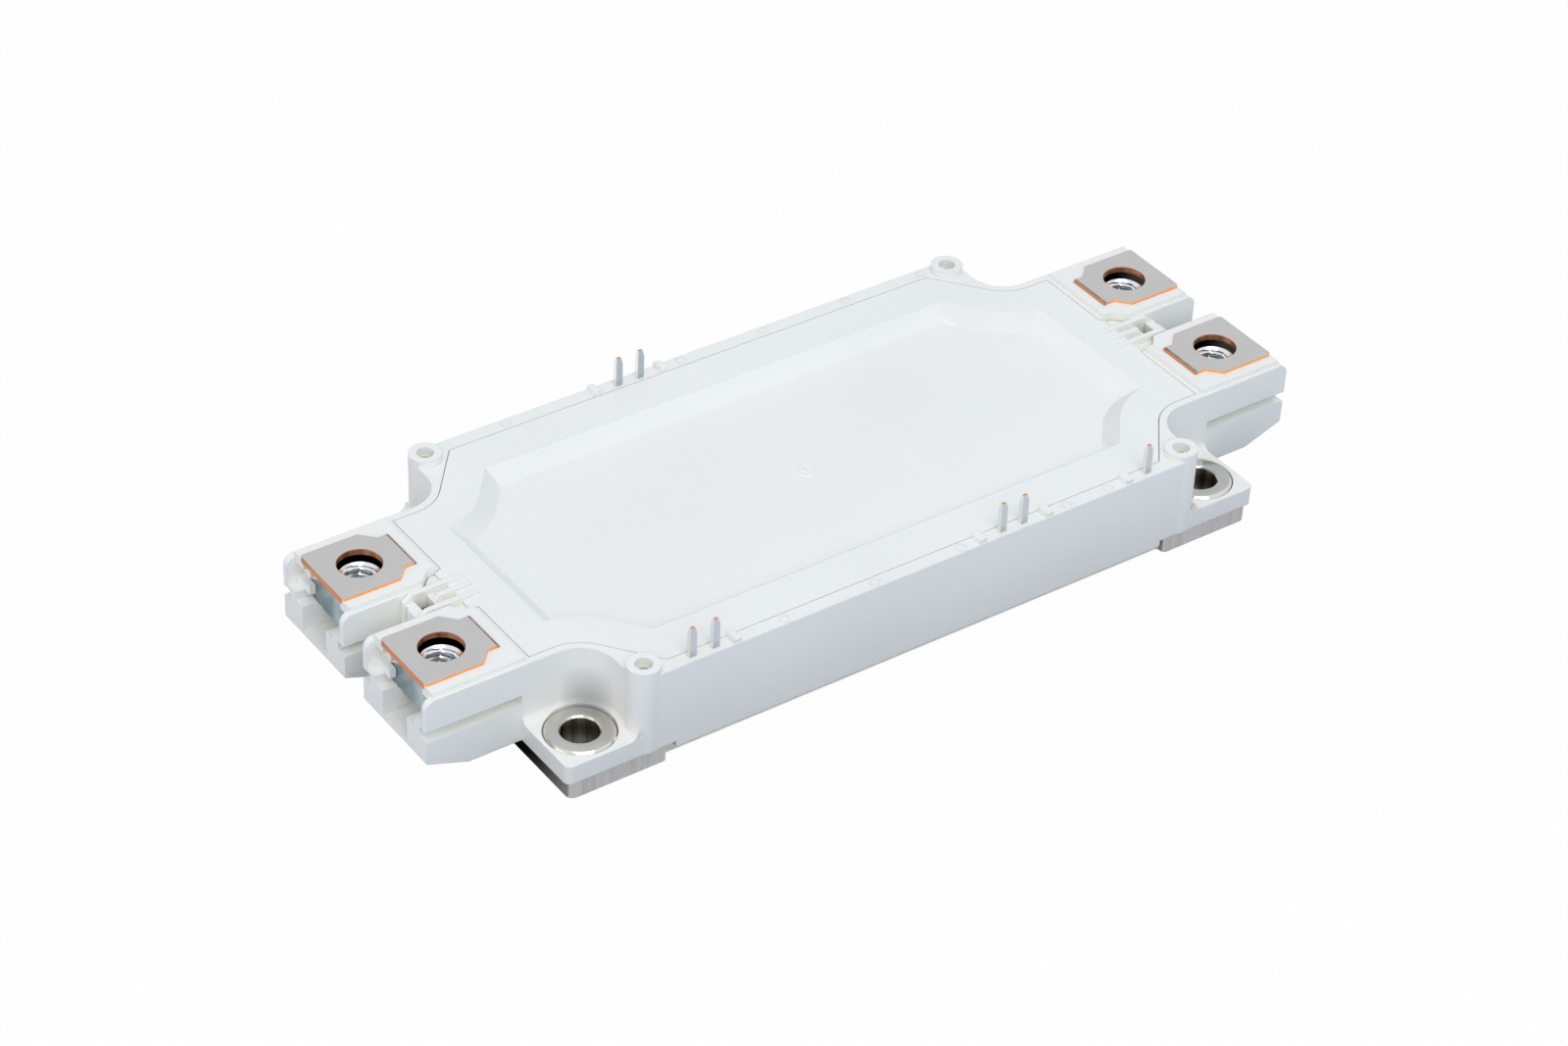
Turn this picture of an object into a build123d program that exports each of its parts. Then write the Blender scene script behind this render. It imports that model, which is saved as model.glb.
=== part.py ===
from build123d import *
from math import asin, cos, degrees, isclose, radians, sin, tan
import os

# A dual power transistor module: a white moulded housing on a plated base plate, with four
# screw terminals, seven control pins and the circuit sealed inside. Lengths are millimetres.
# The origin is the centre of the base plate's bottom face, +X runs along the module, +Z is up.

os.makedirs("parts", exist_ok=True)

# Base plate and its mounting screws
base_length = 120.5
base_width = 61.4
base_thickness = 3.0
base_corner_radius = 1.2
foot_length = 16.0
foot_step = 1.5
foot_corner_radius = 0.75
foot_cove_radius = 0.7
screw_end_distance = 5.25
screw_side_distance = 5.7
screw_bore = 5.5

# Mounting bushings
flange_diameter = 10.3
flange_thickness = 1.2
flange_chamfer = 0.35
flange_stand = 0.25
sleeve_diameter = 7.0
bore_chamfer = 0.28
seat_clearance = 0.12
press_clearance = 0.05

# Housing walls
side_overhang = 0.3
ear_overhang = 0.6
ear_thickness = 3.0
ear_corner_radius = 1.0
wall_height = 13.0
cavity_radius = 5.6
cavity_cove = 1.4
cove_root = 0.3
body_corner_radius = 2.1
skirt_end_gap = 1.2
skirt_depth = 1.0
skirt_clearance = 0.2

# Board standoffs on the housing's corners
standoff_screw_distance = 7.75
standoff_side_distance = 2.25
standoff_diameter = 5.0
standoff_rise = 1.0
standoff_mouth = 2.55
standoff_mouth_depth = 1.3
standoff_hole = 1.9
standoff_hole_depth = 10.0

# Lid, with a shallow recess; its slanted shoulders pass the screw cavities
lid_seam = 0.1
lid_end_reach = 3.9
rim_width = 2.4
lid_shoulder_radius = 6.9
shoulder_angle = 51.0
lid_thickness = 2.0
lid_ledge = 1.5
recess_depth = 2.25
recess_slope = 48.0
recess_end_border = 8.4
recess_side_border = 9.05
recess_shoulder_radius = 15.1
pan_wall = 1.2
pan_floor = 1.5

# Tongue and creepage ribs of the lid, over the gap between two terminal blocks.
# From here on, each reach is a distance outward along the module from the mounting screws.
tongue_half_width = 5.0
tongue_reach = 4.95
tongue_chamfer = 0.4
tongue_depth = 2.6
tongue_step_drop = 0.7
tongue_step_reach = 6.0
tongue_nose_reach = 8.2
tongue_nose_half_width = 2.75
rib_places = (-2.1, 0.0, 2.1)
rib_width = 0.9
rib_rise = 0.2
rib_root_reach = 2.0
rib_root_ramp = 0.3
long_rib_reach = 10.5
short_rib_reach = 7.4
cross_wall_clearance = 0.1
cross_wall_reach = 10.3
cross_wall_thickness = 1.7
cross_wall_drop = 0.9
cross_wall_slot = 0.5
cross_wall_slot_y = 0.9

# Terminal blocks
terminal_y = 11.0
block_reach = 21.0
block_tip_radius = 1.6
block_heel = 6.65
block_heel_rise = 2.4
groove_z = 9.1
groove_height = 1.75
groove_depth = 1.8
tip_wall = 1.15
high_ledge_z = 11.5
high_ledge_edge = 5.15
low_ledge_z = 10.2
channel_half_width = 3.2
channel_floor_z = 6.15
channel_end_reach = 9.2
roof_thickness = 1.0
post_length = 1.3
post_width = 0.95
post_height = 1.6
post_edge = 5.85
hook_length = 1.0
hook_height = 1.5
hook_edge = 3.6
platform_rise = 0.6
platform_half_width = 7.7
platform_reach = 4.8

# Screw terminals, each bent from one strip
terminal_reach = 13.5
strip_thickness = 1.0
plate_half_width = 5.95
plate_tip_reach = 19.6
plate_shoulder_reach = 10.4
neck_half_width = 3.85
neck_reach = 8.4
leg_reach = 6.45
bend_inner_radius = 0.2
bend_outer_radius = 0.5
plate_corner_cut = 0.3
plate_hole = 6.6
foot_setback = 0.5

# Captive square nuts
nut_size = 10.0
nut_height = 5.2
nut_gap = 1.1
nut_bore = 5.0
nut_mouth = 6.2
nut_corner_angle = 30.0
nut_corner_reach = 5.4
nut_clearance = 0.05

# Control pins: places along the near and the far rim
near_pins = (-40.0, -36.19, 13.34, 17.15, 40.0)
far_pins = (-13.34, -9.53)
pin_inset = 1.35
pin_width = 1.1
pin_depth = 0.8
pin_rise = 4.8
pin_tip_length = 0.9
pin_tip_taper = 13.0

# Small blocks across the rim beside the pins
near_fences = (-33.1, 9.2, 21.2, 36.0)
far_fences = (-17.5, -5.7)
fence_length = 1.2
fence_rise = 1.0
fence_chamfer = 0.25
fence_setback = 0.15

# Circuit inside: ceramic substrates, chips, bond ribbons and gel
shelf_height = 2.5
shelf_width = 2.8
substrate_count = 3
substrate_gap = 1.0
substrate_margin = 1.2
copper_thickness = 0.3
copper_margin = 0.6
ceramic_thickness = 0.4
track_gap = 1.0
middle_track_width = 4.0
chip_thickness = 0.25
switch_length = 12.0
switch_width = 10.0
diode_length = 9.0
diode_width = 8.0
chip_gap = 1.5
thermistor_length = 3.2
thermistor_width = 1.6
thermistor_height = 1.0
ribbon_thickness = 0.3
ribbon_width = 2.0
ribbon_rise = 1.4
ribbon_pad = 0.8
gel_depth = 6.0

# Levels and places that follow from these sizes
ENDS = (-1, 1)
SIDES = (-1, 1)
ear_top = base_thickness + ear_thickness
rim_top = base_thickness + wall_height
lid_seat = rim_top - lid_thickness
shelf_top = base_thickness + shelf_height
platform_top = rim_top + platform_rise
recess_floor = rim_top - recess_depth
recess_spread = recess_depth * tan(radians(recess_slope))
pan_bottom = recess_floor - pan_floor
tongue_bottom = rim_top - tongue_depth
tongue_step = rim_top - tongue_step_drop
cross_wall_top = rim_top - cross_wall_drop
mount_x = base_length / 2 - screw_end_distance
mount_y = base_width / 2 - screw_side_distance
housing_side = base_width / 2 + side_overhang
standoff_x = mount_x - standoff_screw_distance
standoff_y = housing_side - standoff_side_distance
lid_edge_x = mount_x + lid_end_reach
lid_side_y = housing_side - rim_width
recess_half_length = lid_edge_x - recess_end_border
recess_half_width = lid_side_y - recess_side_border
tongue_x = mount_x + tongue_reach
tongue_step_x = mount_x + tongue_step_reach
tongue_nose_x = mount_x + tongue_nose_reach
rib_root_x = mount_x + rib_root_reach
long_rib_x = mount_x + long_rib_reach
short_rib_x = mount_x + short_rib_reach
cross_wall_x = mount_x + cross_wall_reach
channel_end_x = mount_x + channel_end_reach
platform_x = mount_x + platform_reach
terminal_x = mount_x + terminal_reach
plate_tip_x = mount_x + plate_tip_reach
plate_shoulder_x = mount_x + plate_shoulder_reach
neck_x = mount_x + neck_reach
leg_x = mount_x + leg_reach
tip_x = mount_x + block_reach
body_half_length = mount_x - cavity_radius
block_side = mount_y - cavity_radius
block_half_width = block_side - terminal_y
ear_half_length = base_length / 2 + ear_overhang
base_side = base_width / 2 - foot_step
foot_x = base_length / 2 - foot_length
cavity_half_length = lid_edge_x - lid_ledge
cavity_half_width = lid_side_y - lid_ledge
cavity_shoulder_radius = lid_shoulder_radius + lid_ledge
floor_half_length = cavity_half_length - shelf_width
floor_half_width = cavity_half_width - shelf_width
floor_shoulder_radius = cavity_shoulder_radius + shelf_width
flange_top = ear_top + flange_stand
flange_seat = flange_top - flange_thickness
nut_top = rim_top - nut_gap
nut_bottom = nut_top - nut_height
nut_pocket = nut_size / 2 + nut_clearance
opening_x = terminal_x + nut_pocket
tip_opening_half = block_half_width - tip_wall
pin_y = housing_side - pin_inset
pin_top = rim_top + pin_rise
foot_end_x = floor_half_length + foot_setback
foot_end_y = floor_half_width + foot_setback
ceramic_bottom = base_thickness + copper_thickness
track_bottom = ceramic_bottom + ceramic_thickness
track_top = track_bottom + copper_thickness
chip_top = track_top + chip_thickness
substrate_corner = (floor_shoulder_radius + substrate_margin) * cos(radians(45))
substrate_width = 2 * (mount_y - substrate_corner)
row_length = 2 * (mount_x - substrate_corner)
substrate_length = (row_length - (substrate_count - 1) * substrate_gap) / substrate_count
copper_length = substrate_length - 2 * copper_margin
copper_width = substrate_width - 2 * copper_margin
side_track_width = (copper_width - middle_track_width) / 2 - track_gap
side_track_y = (middle_track_width + side_track_width) / 2 + track_gap
chip_row = switch_length + chip_gap + diode_length
switch_x = (switch_length - chip_row) / 2
diode_x = (chip_row - diode_length) / 2


def save(piece, name):
    """Labels a finished piece and writes its file."""
    piece.part.label = name
    export_step(piece.part, f"parts/{name}.step")


def corners(sketch, x, y):
    """The sketch's vertices at plus or minus x and plus or minus y."""
    return sketch.vertices().filter_by(
        lambda v: isclose(abs(v.X), x, abs_tol=1e-4) and isclose(abs(v.Y), y, abs_tol=1e-4)
    )


def at_level(z):
    """The horizontal plane at height z."""
    return Plane.XY.offset(z)


def side_plane(end, y):
    """An upright plane along the module. Its x grows towards that end, its y upwards."""
    return Plane(origin=(0, y, 0), x_dir=(end, 0, 0), z_dir=(0, -end, 0))


def end_plane(end, y, z):
    """A horizontal plane at height z. Its x grows towards that end of the module."""
    return Plane(origin=(0, y, z), x_dir=(end, 0, 0), z_dir=(0, 0, 1))


def tip_plane(end, y):
    """The upright plane of a terminal block's tip, facing out of that end."""
    return Plane(origin=(end * tip_x, y, 0), x_dir=(0, end, 0), z_dir=(end, 0, 0))


def cross_plane(side, x):
    """An upright plane across the module at x. Its x grows towards that side, its y upwards."""
    return Plane(origin=(x, 0, 0), x_dir=(0, side, 0), z_dir=(side, 0, 0))


def waisted_outline(plane, half_length, half_width, radius):
    """A rectangle whose four shoulders slant to an arc of that radius round each screw."""
    turn = radians(shoulder_angle)
    touch = (mount_x - radius * sin(turn), mount_y - radius * cos(turn))
    shoulder_x = touch[0] - (half_width - touch[1]) / tan(turn)
    arc_end_x = min(half_length, mount_x)
    unused_turn = degrees(asin((mount_x - arc_end_x) / radius))
    with BuildSketch(plane) as outline:
        with BuildLine():
            Polyline((0, half_width), (shoulder_x, half_width), touch)
            arc = CenterArc(
                (mount_x, mount_y), radius, 270 - shoulder_angle, shoulder_angle - unused_turn
            )
            if half_length > mount_x:
                Polyline(arc @ 1, (half_length, (arc @ 1).Y), (half_length, 0))
            else:
                Line(arc @ 1, (half_length, 0))
            mirror(about=Plane.XZ)
            mirror(about=Plane.YZ)
        make_face()
    return outline.sketch


def tongue_outline(plane, clearance):
    """The lid's tongue seen from above, with its nose cut at two corners."""
    half_width = tongue_half_width + clearance
    nose_half_width = tongue_nose_half_width + clearance
    with BuildSketch(plane) as outline:
        with BuildLine():
            Polyline(
                (cavity_half_length + lid_seam - clearance, 0),
                (cavity_half_length + lid_seam - clearance, half_width),
                (tongue_step_x + clearance, half_width),
                (tongue_nose_x + clearance, nose_half_width),
                (tongue_nose_x + clearance, 0),
            )
            mirror(about=Plane.XZ)
        make_face()
    return outline.sketch


def make_base_plate():
    """The plate's long edges stand back between its four corner feet."""
    with BuildPart() as plate:
        with BuildSketch() as plan:
            Rectangle(base_length, 2 * base_side)
            with GridLocations(base_length - foot_length, 0, 2, 1):
                Rectangle(foot_length, base_width)
            fillet(corners(plan, foot_x, base_side), foot_cove_radius)
            fillet(corners(plan, foot_x, base_width / 2), foot_corner_radius)
            fillet(corners(plan, base_length / 2, base_width / 2), base_corner_radius)
        extrude(amount=base_thickness)
        with GridLocations(2 * mount_x, 2 * mount_y, 2, 2):
            Hole(sleeve_diameter / 2 + press_clearance)
    return plate


def make_bushing(x, y):
    """A turned sleeve through ear and base plate, with a chamfered flange on the ear."""
    with BuildPart() as bushing:
        with BuildSketch(Plane(origin=(x, y, 0), x_dir=(1, 0, 0), z_dir=(0, -1, 0))):
            with BuildLine():
                Polyline(
                    (screw_bore / 2, 0),
                    (sleeve_diameter / 2, 0),
                    (sleeve_diameter / 2, flange_seat),
                    (flange_diameter / 2, flange_seat),
                    (flange_diameter / 2, flange_top - flange_chamfer),
                    (flange_diameter / 2 - flange_chamfer, flange_top),
                    (screw_bore / 2 + bore_chamfer, flange_top),
                    (screw_bore / 2, flange_top - bore_chamfer),
                    close=True,
                )
            make_face()
        revolve(axis=Axis((x, y, 0), (0, 0, 1)))
    return bushing


def make_terminal(end, side):
    """Plate, neck, leg down through the end wall, and foot on the inner shelf."""
    y = side * terminal_y
    plate_top = rim_top + strip_thickness
    foot_top = shelf_top + strip_thickness
    with BuildPart() as terminal:
        with BuildSketch(side_plane(end, y)) as profile:
            with BuildLine():
                Polyline(
                    (plate_tip_x, rim_top),
                    (plate_tip_x, plate_top),
                    (leg_x, plate_top),
                    (leg_x, foot_top),
                    (foot_end_x, foot_top),
                    (foot_end_x, shelf_top),
                    (leg_x + strip_thickness, shelf_top),
                    (leg_x + strip_thickness, rim_top),
                    close=True,
                )
            make_face()
            fillet(corners(profile, leg_x, plate_top), bend_outer_radius)
            fillet(corners(profile, leg_x + strip_thickness, shelf_top), bend_outer_radius)
            fillet(corners(profile, leg_x, foot_top), bend_inner_radius)
            fillet(corners(profile, leg_x + strip_thickness, rim_top), bend_inner_radius)
        extrude(amount=plate_half_width, both=True)
        with BuildSketch(end_plane(end, y, 0)) as plan:
            with BuildLine():
                Polyline(
                    (foot_end_x, 0),
                    (foot_end_x, neck_half_width),
                    (neck_x, neck_half_width),
                    (plate_shoulder_x, plate_half_width),
                    (plate_tip_x, plate_half_width),
                    (plate_tip_x, 0),
                )
                mirror(about=Plane.XZ)
            make_face()
            chamfer(corners(plan, plate_tip_x, plate_half_width), plate_corner_cut)
            with Locations((terminal_x, 0)):
                Circle(plate_hole / 2, mode=Mode.SUBTRACT)
        extrude(amount=plate_top, mode=Mode.INTERSECT)
    return terminal


def make_nut(end, side):
    """A square nut, its corners cut off at an angle on both faces, countersunk on top."""
    x = end * terminal_x
    y = side * terminal_y
    mouth = (nut_mouth - nut_bore) / 2
    middle = Plane(origin=(x, y, (nut_top + nut_bottom) / 2), x_dir=(1, 0, 0), z_dir=(0, 0, 1))
    slope = 90 - nut_corner_angle
    cut_width = 2 * nut_corner_reach + nut_height * tan(radians(slope))
    with BuildPart() as nut:
        with BuildSketch(middle):
            Rectangle(nut_size, nut_size)
        extrude(amount=nut_height / 2, both=True)
        with BuildSketch(middle):
            Rectangle(cut_width, cut_width, rotation=45)
        extrude(amount=nut_height / 2, both=True, taper=slope, mode=Mode.INTERSECT)
        with BuildSketch(Plane(origin=(x, y, 0), x_dir=(1, 0, 0), z_dir=(0, -1, 0))):
            with BuildLine():
                Polyline(
                    (0, nut_bottom),
                    (nut_bore / 2, nut_bottom),
                    (nut_bore / 2, nut_top - mouth),
                    (nut_mouth / 2, nut_top),
                    (0, nut_top),
                    close=True,
                )
            make_face()
        revolve(axis=Axis((x, y, 0), (0, 0, 1)), mode=Mode.SUBTRACT)
    return nut


def make_pin(side, x):
    """An upright blade in the rim with a tapered tip, and a foot on the inner shelf."""
    tip_base = pin_top - pin_tip_length
    with BuildPart() as pin:
        with BuildSketch(cross_plane(side, x)):
            with BuildLine():
                Polyline(
                    (pin_y + pin_depth / 2, tip_base),
                    (pin_y + pin_depth / 2, shelf_top),
                    (foot_end_y, shelf_top),
                    (foot_end_y, shelf_top + pin_depth),
                    (pin_y - pin_depth / 2, shelf_top + pin_depth),
                    (pin_y - pin_depth / 2, tip_base),
                    close=True,
                )
            make_face()
        extrude(amount=pin_width / 2, both=True)
        with BuildSketch(Plane(origin=(x, side * pin_y, tip_base))):
            Rectangle(pin_width, pin_depth)
        extrude(amount=pin_tip_length, taper=pin_tip_taper)
    return pin


def make_coves():
    """The rounded foot of the wall round each screw cavity, where it meets the ear."""
    with BuildPart() as coves:
        with BuildLine(at_level(ear_top)) as foot:
            Line((ear_half_length, block_side), (mount_x, block_side))
            CenterArc((mount_x, mount_y), cavity_radius, 270, -90)
            Line((body_half_length, mount_y), (body_half_length, housing_side))
        start = Plane(origin=(ear_half_length, block_side, ear_top), x_dir=(0, 1, 0), z_dir=(1, 0, 0))
        with BuildSketch(start):
            with Locations((-cove_root, -cove_root)):
                Rectangle(cavity_cove + cove_root, cavity_cove + cove_root, align=(Align.MIN, Align.MIN))
            with Locations((cavity_cove, cavity_cove)):
                Circle(cavity_cove, mode=Mode.SUBTRACT)
        sweep(path=foot.wires()[0])
        with BuildSketch(at_level(base_thickness)):
            Rectangle(2 * ear_half_length, 2 * housing_side)
        extrude(amount=wall_height, mode=Mode.INTERSECT)
        mirror(about=Plane.YZ)
        mirror(about=Plane.XZ)
    return coves


def make_walls():
    """The housing's outer mass: box, four ears, skirts and board standoffs."""
    with BuildPart() as walls:
        with BuildSketch(at_level(base_thickness)) as body:
            Rectangle(2 * body_half_length, 2 * housing_side)
            Rectangle(2 * ear_half_length, 2 * block_side)
            fillet(corners(body, body_half_length, block_side), cavity_radius)
            fillet(corners(body, body_half_length, housing_side), body_corner_radius)
        extrude(amount=wall_height)
        with BuildSketch(at_level(base_thickness)) as ears:
            Rectangle(2 * ear_half_length, 2 * housing_side)
            fillet(ears.vertices(), ear_corner_radius)
        extrude(amount=ear_thickness)
        add(make_coves().part)
        skirt_width = housing_side - base_side - skirt_clearance
        skirt_length = 2 * (foot_x - skirt_end_gap)
        with BuildSketch(at_level(base_thickness - skirt_depth)):
            with GridLocations(0, 2 * housing_side - skirt_width, 1, 2):
                Rectangle(skirt_length, skirt_width)
        extrude(amount=2 * skirt_depth)
        with BuildSketch(at_level(base_thickness)):
            with GridLocations(2 * standoff_x, 2 * standoff_y, 2, 2):
                Circle(standoff_diameter / 2)
        extrude(amount=wall_height + standoff_rise)
    return walls


def make_block(end, side):
    """A terminal block: heel below, rounded tip, raised platform, groove along both sides."""
    y = side * terminal_y
    with BuildPart() as block:
        with BuildSketch(side_plane(end, y)) as profile:
            with BuildLine():
                Polyline(
                    (mount_x, base_thickness),
                    (tip_x - block_heel, base_thickness),
                    (tip_x, base_thickness + block_heel_rise),
                    (tip_x, rim_top),
                    (mount_x, rim_top),
                    close=True,
                )
            make_face()
            fillet(corners(profile, tip_x, rim_top), block_tip_radius)
        extrude(amount=block_half_width, both=True)
        with BuildSketch(end_plane(end, y, rim_top - platform_rise)):
            with Locations((platform_x, 0)):
                Rectangle(
                    plate_tip_x - platform_x, 2 * platform_half_width, align=(Align.MIN, Align.CENTER)
                )
        extrude(amount=2 * platform_rise)
        with BuildSketch(end_plane(end, y, groove_z)):
            with Locations((ear_half_length, 0)):
                Rectangle(
                    tip_x - ear_half_length, 2 * block_half_width, align=(Align.MIN, Align.CENTER)
                )
                Rectangle(
                    tip_x - ear_half_length,
                    2 * (block_half_width - groove_depth),
                    align=(Align.MIN, Align.CENTER),
                    mode=Mode.SUBTRACT,
                )
        extrude(amount=groove_height, mode=Mode.SUBTRACT)
    return block


def make_block_space(end, side):
    """The space cut into a block: nut pocket, screw channel and stepped opening in its tip."""
    y = side * terminal_y
    roof = rim_top - roof_thickness
    with BuildPart() as space:
        with BuildSketch(end_plane(end, y, nut_bottom)):
            with Locations((terminal_x, 0)):
                Rectangle(2 * nut_pocket, 2 * nut_pocket)
        extrude(amount=rim_top - nut_bottom)
        with BuildSketch(end_plane(end, y, channel_floor_z)):
            with Locations((channel_end_x, 0)):
                Rectangle(
                    tip_x - channel_end_x, 2 * channel_half_width, align=(Align.MIN, Align.CENTER)
                )
        extrude(amount=low_ledge_z - channel_floor_z)
        with BuildSketch(end_plane(end, y, rim_top)):
            with Locations((terminal_x, 0)):
                Circle(plate_hole / 2)
        extrude(amount=platform_rise)
        with BuildSketch(tip_plane(end, y)):
            with BuildLine():
                Polyline(
                    (0, low_ledge_z),
                    (high_ledge_edge, low_ledge_z),
                    (high_ledge_edge, high_ledge_z),
                    (tip_opening_half, high_ledge_z),
                    (tip_opening_half, roof),
                    (high_ledge_edge, roof),
                    (high_ledge_edge, rim_top),
                    (0, rim_top),
                )
                mirror(about=Plane.YZ)
            make_face()
        extrude(amount=opening_x - tip_x)
        with BuildSketch(end_plane(end, y, high_ledge_z)):
            with Locations((plate_tip_x, 0)):
                Rectangle(tip_x - plate_tip_x, 2 * tip_opening_half, align=(Align.MIN, Align.CENTER))
        extrude(amount=platform_top - high_ledge_z)
        with BuildSketch(end_plane(end, y, high_ledge_z)):
            with Locations((opening_x, -end * (post_edge + post_width / 2))):
                Rectangle(post_length, post_width, align=(Align.MIN, Align.CENTER))
        extrude(amount=post_height, mode=Mode.SUBTRACT)
        with BuildSketch(end_plane(end, y, high_ledge_z)):
            with Locations((opening_x, end * (hook_edge + tip_opening_half) / 2)):
                Rectangle(hook_length, tip_opening_half - hook_edge, align=(Align.MIN, Align.CENTER))
        extrude(amount=hook_height, mode=Mode.SUBTRACT)
    return space


def make_fences():
    """The small chamfered blocks standing on the two long rims."""
    fence_start = lid_side_y + lid_seam + fence_setback
    fence_width = housing_side - fence_setback - fence_start
    fence_y = fence_start + fence_width / 2
    fences = [(x, -fence_y) for x in near_fences] + [(x, fence_y) for x in far_fences]
    with BuildPart() as blocks:
        with BuildSketch(at_level(rim_top)):
            with Locations(*fences):
                Rectangle(fence_length, fence_width)
        extrude(amount=fence_rise)
        chamfer(blocks.edges().group_by(Axis.Z)[-1], fence_chamfer)
    return blocks


def make_end_walls():
    """The walls that join the two blocks of each end, with a slot in the outer one."""
    slot_x = cross_wall_x + cross_wall_thickness
    with BuildPart() as walls:
        for end in ENDS:
            with BuildSketch(end_plane(end, 0, base_thickness)):
                with Locations((mount_x, 0)):
                    Rectangle(tongue_nose_x - mount_x, 2 * terminal_y, align=(Align.MIN, Align.CENTER))
            extrude(amount=wall_height)
            with BuildSketch(end_plane(end, 0, base_thickness)):
                with Locations((cross_wall_x, 0)):
                    Rectangle(cross_wall_thickness, 2 * terminal_y, align=(Align.MIN, Align.CENTER))
                with Locations((slot_x, end * cross_wall_slot_y)):
                    Rectangle(cross_wall_slot, cross_wall_slot, mode=Mode.SUBTRACT)
            extrude(amount=cross_wall_top - base_thickness)
    return walls


def make_inner_space():
    """The space inside the frame: lid seat, both steps of the cavity, and tongue cuts."""
    seat_edge = lid_edge_x + lid_seam
    seat_side = lid_side_y + lid_seam
    seat = waisted_outline(at_level(lid_seat), seat_edge, seat_side, lid_shoulder_radius - lid_seam)
    with BuildPart() as space:
        extrude(seat, amount=lid_thickness)
        extrude(upper_cavity(shelf_top), amount=lid_seat - shelf_top)
        extrude(lower_cavity(base_thickness), amount=shelf_height)
        for end in ENDS:
            tongue = tongue_outline(end_plane(end, 0, tongue_bottom), lid_seam)
            extrude(tongue, amount=platform_top - tongue_bottom)
    return space


def make_bushing_seats():
    """The stepped holes through the ears for the four bushings."""
    seat_depth = ear_top + cavity_cove - flange_seat
    with BuildPart() as seats:
        with BuildSketch(at_level(flange_seat)):
            with GridLocations(2 * mount_x, 2 * mount_y, 2, 2):
                Circle(flange_diameter / 2 + seat_clearance)
        extrude(amount=seat_depth)
        with BuildSketch(at_level(base_thickness)):
            with GridLocations(2 * mount_x, 2 * mount_y, 2, 2):
                Circle(sleeve_diameter / 2 + press_clearance)
        extrude(amount=ear_thickness)
    return seats


def make_frame():
    """The one-piece housing frame, moulded round the terminals and pins."""
    blocks = [make_block(end, side).part for end in ENDS for side in SIDES]
    spaces = [make_block_space(end, side).part for end in ENDS for side in SIDES]
    inserts = [piece.part for piece in [*terminals.values(), *pins]]
    with BuildPart() as frame:
        add([make_walls().part, make_end_walls().part, make_fences().part, *blocks])
        add([make_inner_space().part, make_bushing_seats().part, *spaces, *inserts], mode=Mode.SUBTRACT)
        with Locations((0, 0, rim_top + standoff_rise)):
            with GridLocations(2 * standoff_x, 2 * standoff_y, 2, 2):
                CounterBoreHole(
                    standoff_hole / 2, standoff_mouth / 2, standoff_mouth_depth, standoff_hole_depth
                )
    return frame


def upper_cavity(z):
    """The housing's inner outline above the shelf, at height z."""
    return waisted_outline(
        at_level(z), cavity_half_length, cavity_half_width, cavity_shoulder_radius
    )


def lower_cavity(z):
    """The housing's inner outline below the shelf, at height z."""
    return waisted_outline(at_level(z), floor_half_length, floor_half_width, floor_shoulder_radius)


def make_lid():
    """The lid: slab, sunk recess with its pan below, and at each end a tongue with ribs."""
    rib_top = rim_top + rib_rise
    rib_root = rim_top - lid_thickness / 2
    tongue_start = cavity_half_length + lid_seam
    nose_x = cross_wall_x - cross_wall_clearance
    with BuildPart() as lid:
        slab = waisted_outline(at_level(lid_seat), lid_edge_x, lid_side_y, lid_shoulder_radius)
        extrude(slab, amount=lid_thickness)
        pan = waisted_outline(
            at_level(pan_bottom),
            recess_half_length + pan_wall,
            recess_half_width + pan_wall,
            recess_shoulder_radius - pan_wall,
        )
        extrude(pan, amount=rim_top - pan_bottom)
        recess_bottom = waisted_outline(
            at_level(recess_floor), recess_half_length, recess_half_width, recess_shoulder_radius
        )
        recess_mouth = waisted_outline(
            at_level(rim_top),
            recess_half_length + recess_spread,
            recess_half_width + recess_spread,
            recess_shoulder_radius - recess_spread,
        )
        loft([recess_bottom, recess_mouth], ruled=True, mode=Mode.SUBTRACT)
        for end in ENDS:
            tongue = tongue_outline(end_plane(end, 0, tongue_bottom), 0)
            extrude(tongue, amount=tongue_step - tongue_bottom)
            with BuildSketch(side_plane(end, 0)):
                with BuildLine():
                    Polyline(
                        (tongue_start, tongue_bottom),
                        (tongue_start, rim_top),
                        (tongue_x - 2 * tongue_chamfer, rim_top),
                        (tongue_x, rim_top - tongue_chamfer),
                        (tongue_x, tongue_bottom),
                        close=True,
                    )
                make_face()
            extrude(amount=tongue_half_width, both=True)
            for y in rib_places:
                with BuildSketch(side_plane(end, y)):
                    with BuildLine():
                        if y == 0:
                            nose = [
                                (short_rib_x, rib_top),
                                (tongue_nose_x, cross_wall_top),
                                (tongue_nose_x, tongue_bottom),
                            ]
                        else:
                            nose = [
                                (long_rib_x, rib_top),
                                (cross_wall_x + cross_wall_thickness, cross_wall_top),
                                (nose_x, cross_wall_top),
                                (nose_x, tongue_bottom),
                            ]
                        Polyline(
                            (tongue_start, tongue_bottom),
                            (tongue_start, rib_root),
                            (rib_root_x, rib_root),
                            (rib_root_x, rim_top),
                            (rib_root_x + rib_root_ramp, rib_top),
                            *nose,
                            close=True,
                        )
                    make_face()
                extrude(amount=rib_width / 2, both=True)
    return lid


def make_slab(plane, length, width, thickness):
    """A rectangular plate standing on a plane, centred on its origin."""
    with BuildPart() as slab:
        with BuildSketch(plane):
            Rectangle(length, width)
        extrude(amount=thickness)
    return slab


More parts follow.
